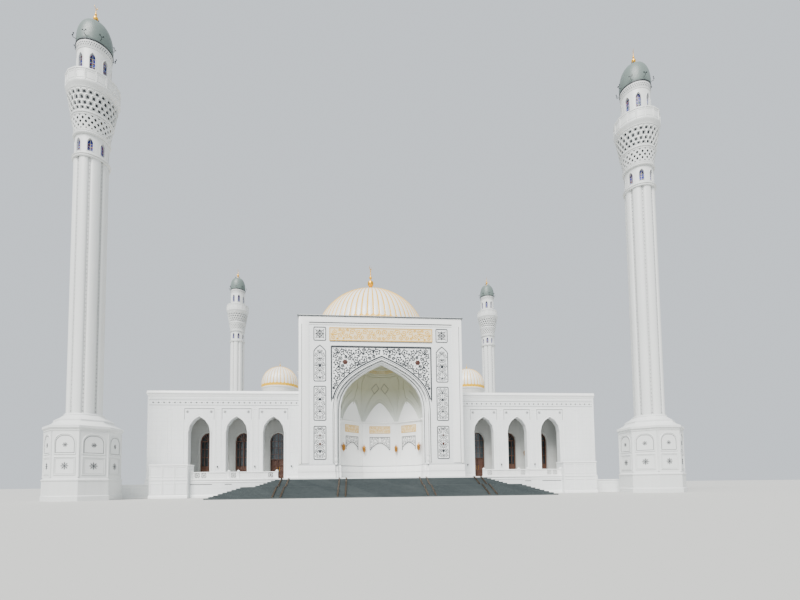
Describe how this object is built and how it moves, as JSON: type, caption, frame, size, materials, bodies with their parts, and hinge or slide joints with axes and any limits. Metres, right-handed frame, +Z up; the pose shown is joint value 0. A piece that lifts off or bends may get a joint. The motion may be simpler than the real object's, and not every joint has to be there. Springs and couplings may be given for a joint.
{
  "type": "1:10 scale model of a domed mosque with four minarets",
  "caption": "Scale model of a square prayer hall on a stepped terrace, with an arched portal, an arcade, a ribbed central dome, corner domes and tall minarets.",
  "frame": {"origin": "on the ground under the middle of the main dome, the middle of the terrace's flat underside", "axes": "+Z up, -Y out of the portal towards the visitor, +X to the visitor's right"},
  "size_m": [8.02, 8.215, 6.3042],
  "materials": {
    "white_stone": "honed white marble cladding",
    "warm_plaster": "smooth warm white plaster",
    "grey_granite": "flamed dark grey granite",
    "dome_shell": "white enamelled panels with gilt ribs",
    "gilding": "polished gilding",
    "brown_joinery": "dark brown painted joinery",
    "window_glass": "dark tinted glazing",
    "stained_glass": "blue stained glazing",
    "bronze_rail": "dull bronze"
  },
  "bodies": {
    "building": {"terrace": "white_stone", "balustrade_front_left": "white_stone", "balustrade_front_right": "white_stone", "balustrade_left": "white_stone", "balustrade_right": "white_stone", "balustrade_back": "white_stone", "gallery_front_left": "white_stone", "gallery_front_right": "white_stone", "gallery_left": "white_stone", "gallery_right": "white_stone", "gallery_back": "white_stone", "hall_front_left": "white_stone", "hall_front_right": "white_stone", "hall_left": "white_stone", "hall_right": "white_stone", "hall_back": "white_stone", "portal_front": "white_stone", "portal_body": "white_stone", "dome_block": "white_stone", "dome_drum": "white_stone", "minaret_front_left_shaft": "white_stone", "minaret_front_left_gallery": "white_stone", "minaret_front_left_lantern": "white_stone", "minaret_front_right_shaft": "white_stone", "minaret_front_right_gallery": "white_stone", "minaret_front_right_lantern": "white_stone", "minaret_back_right_shaft": "white_stone", "minaret_back_right_gallery": "white_stone", "minaret_back_right_lantern": "white_stone", "minaret_back_left_shaft": "white_stone", "minaret_back_left_gallery": "white_stone", "minaret_back_left_lantern": "white_stone", "niche_walls": "warm_plaster", "niche_vault": "warm_plaster", "roof": "warm_plaster", "stair_lower": "grey_granite", "stair_upper": "grey_granite", "main_dome": "dome_shell", "small_dome_front_left": "dome_shell", "small_dome_front_right": "dome_shell", "small_dome_back_right": "dome_shell", "small_dome_back_left": "dome_shell", "minaret_front_left_cap": "dome_shell", "minaret_front_right_cap": "dome_shell", "minaret_back_right_cap": "dome_shell", "minaret_back_left_cap": "dome_shell", "main_finial": "gilding", "door_frame_right": "brown_joinery", "door_frame_left": "brown_joinery", "glass_front_left": "window_glass", "glass_front_right": "window_glass", "glass_left": "window_glass", "glass_right": "window_glass", "glass_back": "window_glass"},
    "door_right_leaf_west": {"door_right_leaf_west": "brown_joinery"},
    "door_right_leaf_east": {"door_right_leaf_east": "brown_joinery"},
    "door_left_leaf_west": {"door_left_leaf_west": "brown_joinery"},
    "door_left_leaf_east": {"door_left_leaf_east": "brown_joinery"}
  },
  "joints": [
    {"name": "door_right_west_hinge", "type": "hinge", "parent": "building", "child": "door_right_leaf_west", "pos_m": [1.3763, -2.705, 0.38], "axis": [0, 0, 1], "range_deg": [0, 90]},
    {"name": "door_right_east_hinge", "type": "hinge", "parent": "building", "child": "door_right_leaf_east", "pos_m": [1.5637, -2.705, 0.38], "axis": [0, 0, -1], "range_deg": [0, 90]},
    {"name": "door_left_west_hinge", "type": "hinge", "parent": "building", "child": "door_left_leaf_west", "pos_m": [-1.5637, -2.705, 0.38], "axis": [0, 0, 1], "range_deg": [0, 90]},
    {"name": "door_left_east_hinge", "type": "hinge", "parent": "building", "child": "door_left_leaf_east", "pos_m": [-1.3763, -2.705, 0.38], "axis": [0, 0, -1], "range_deg": [0, 90]}
  ]
}
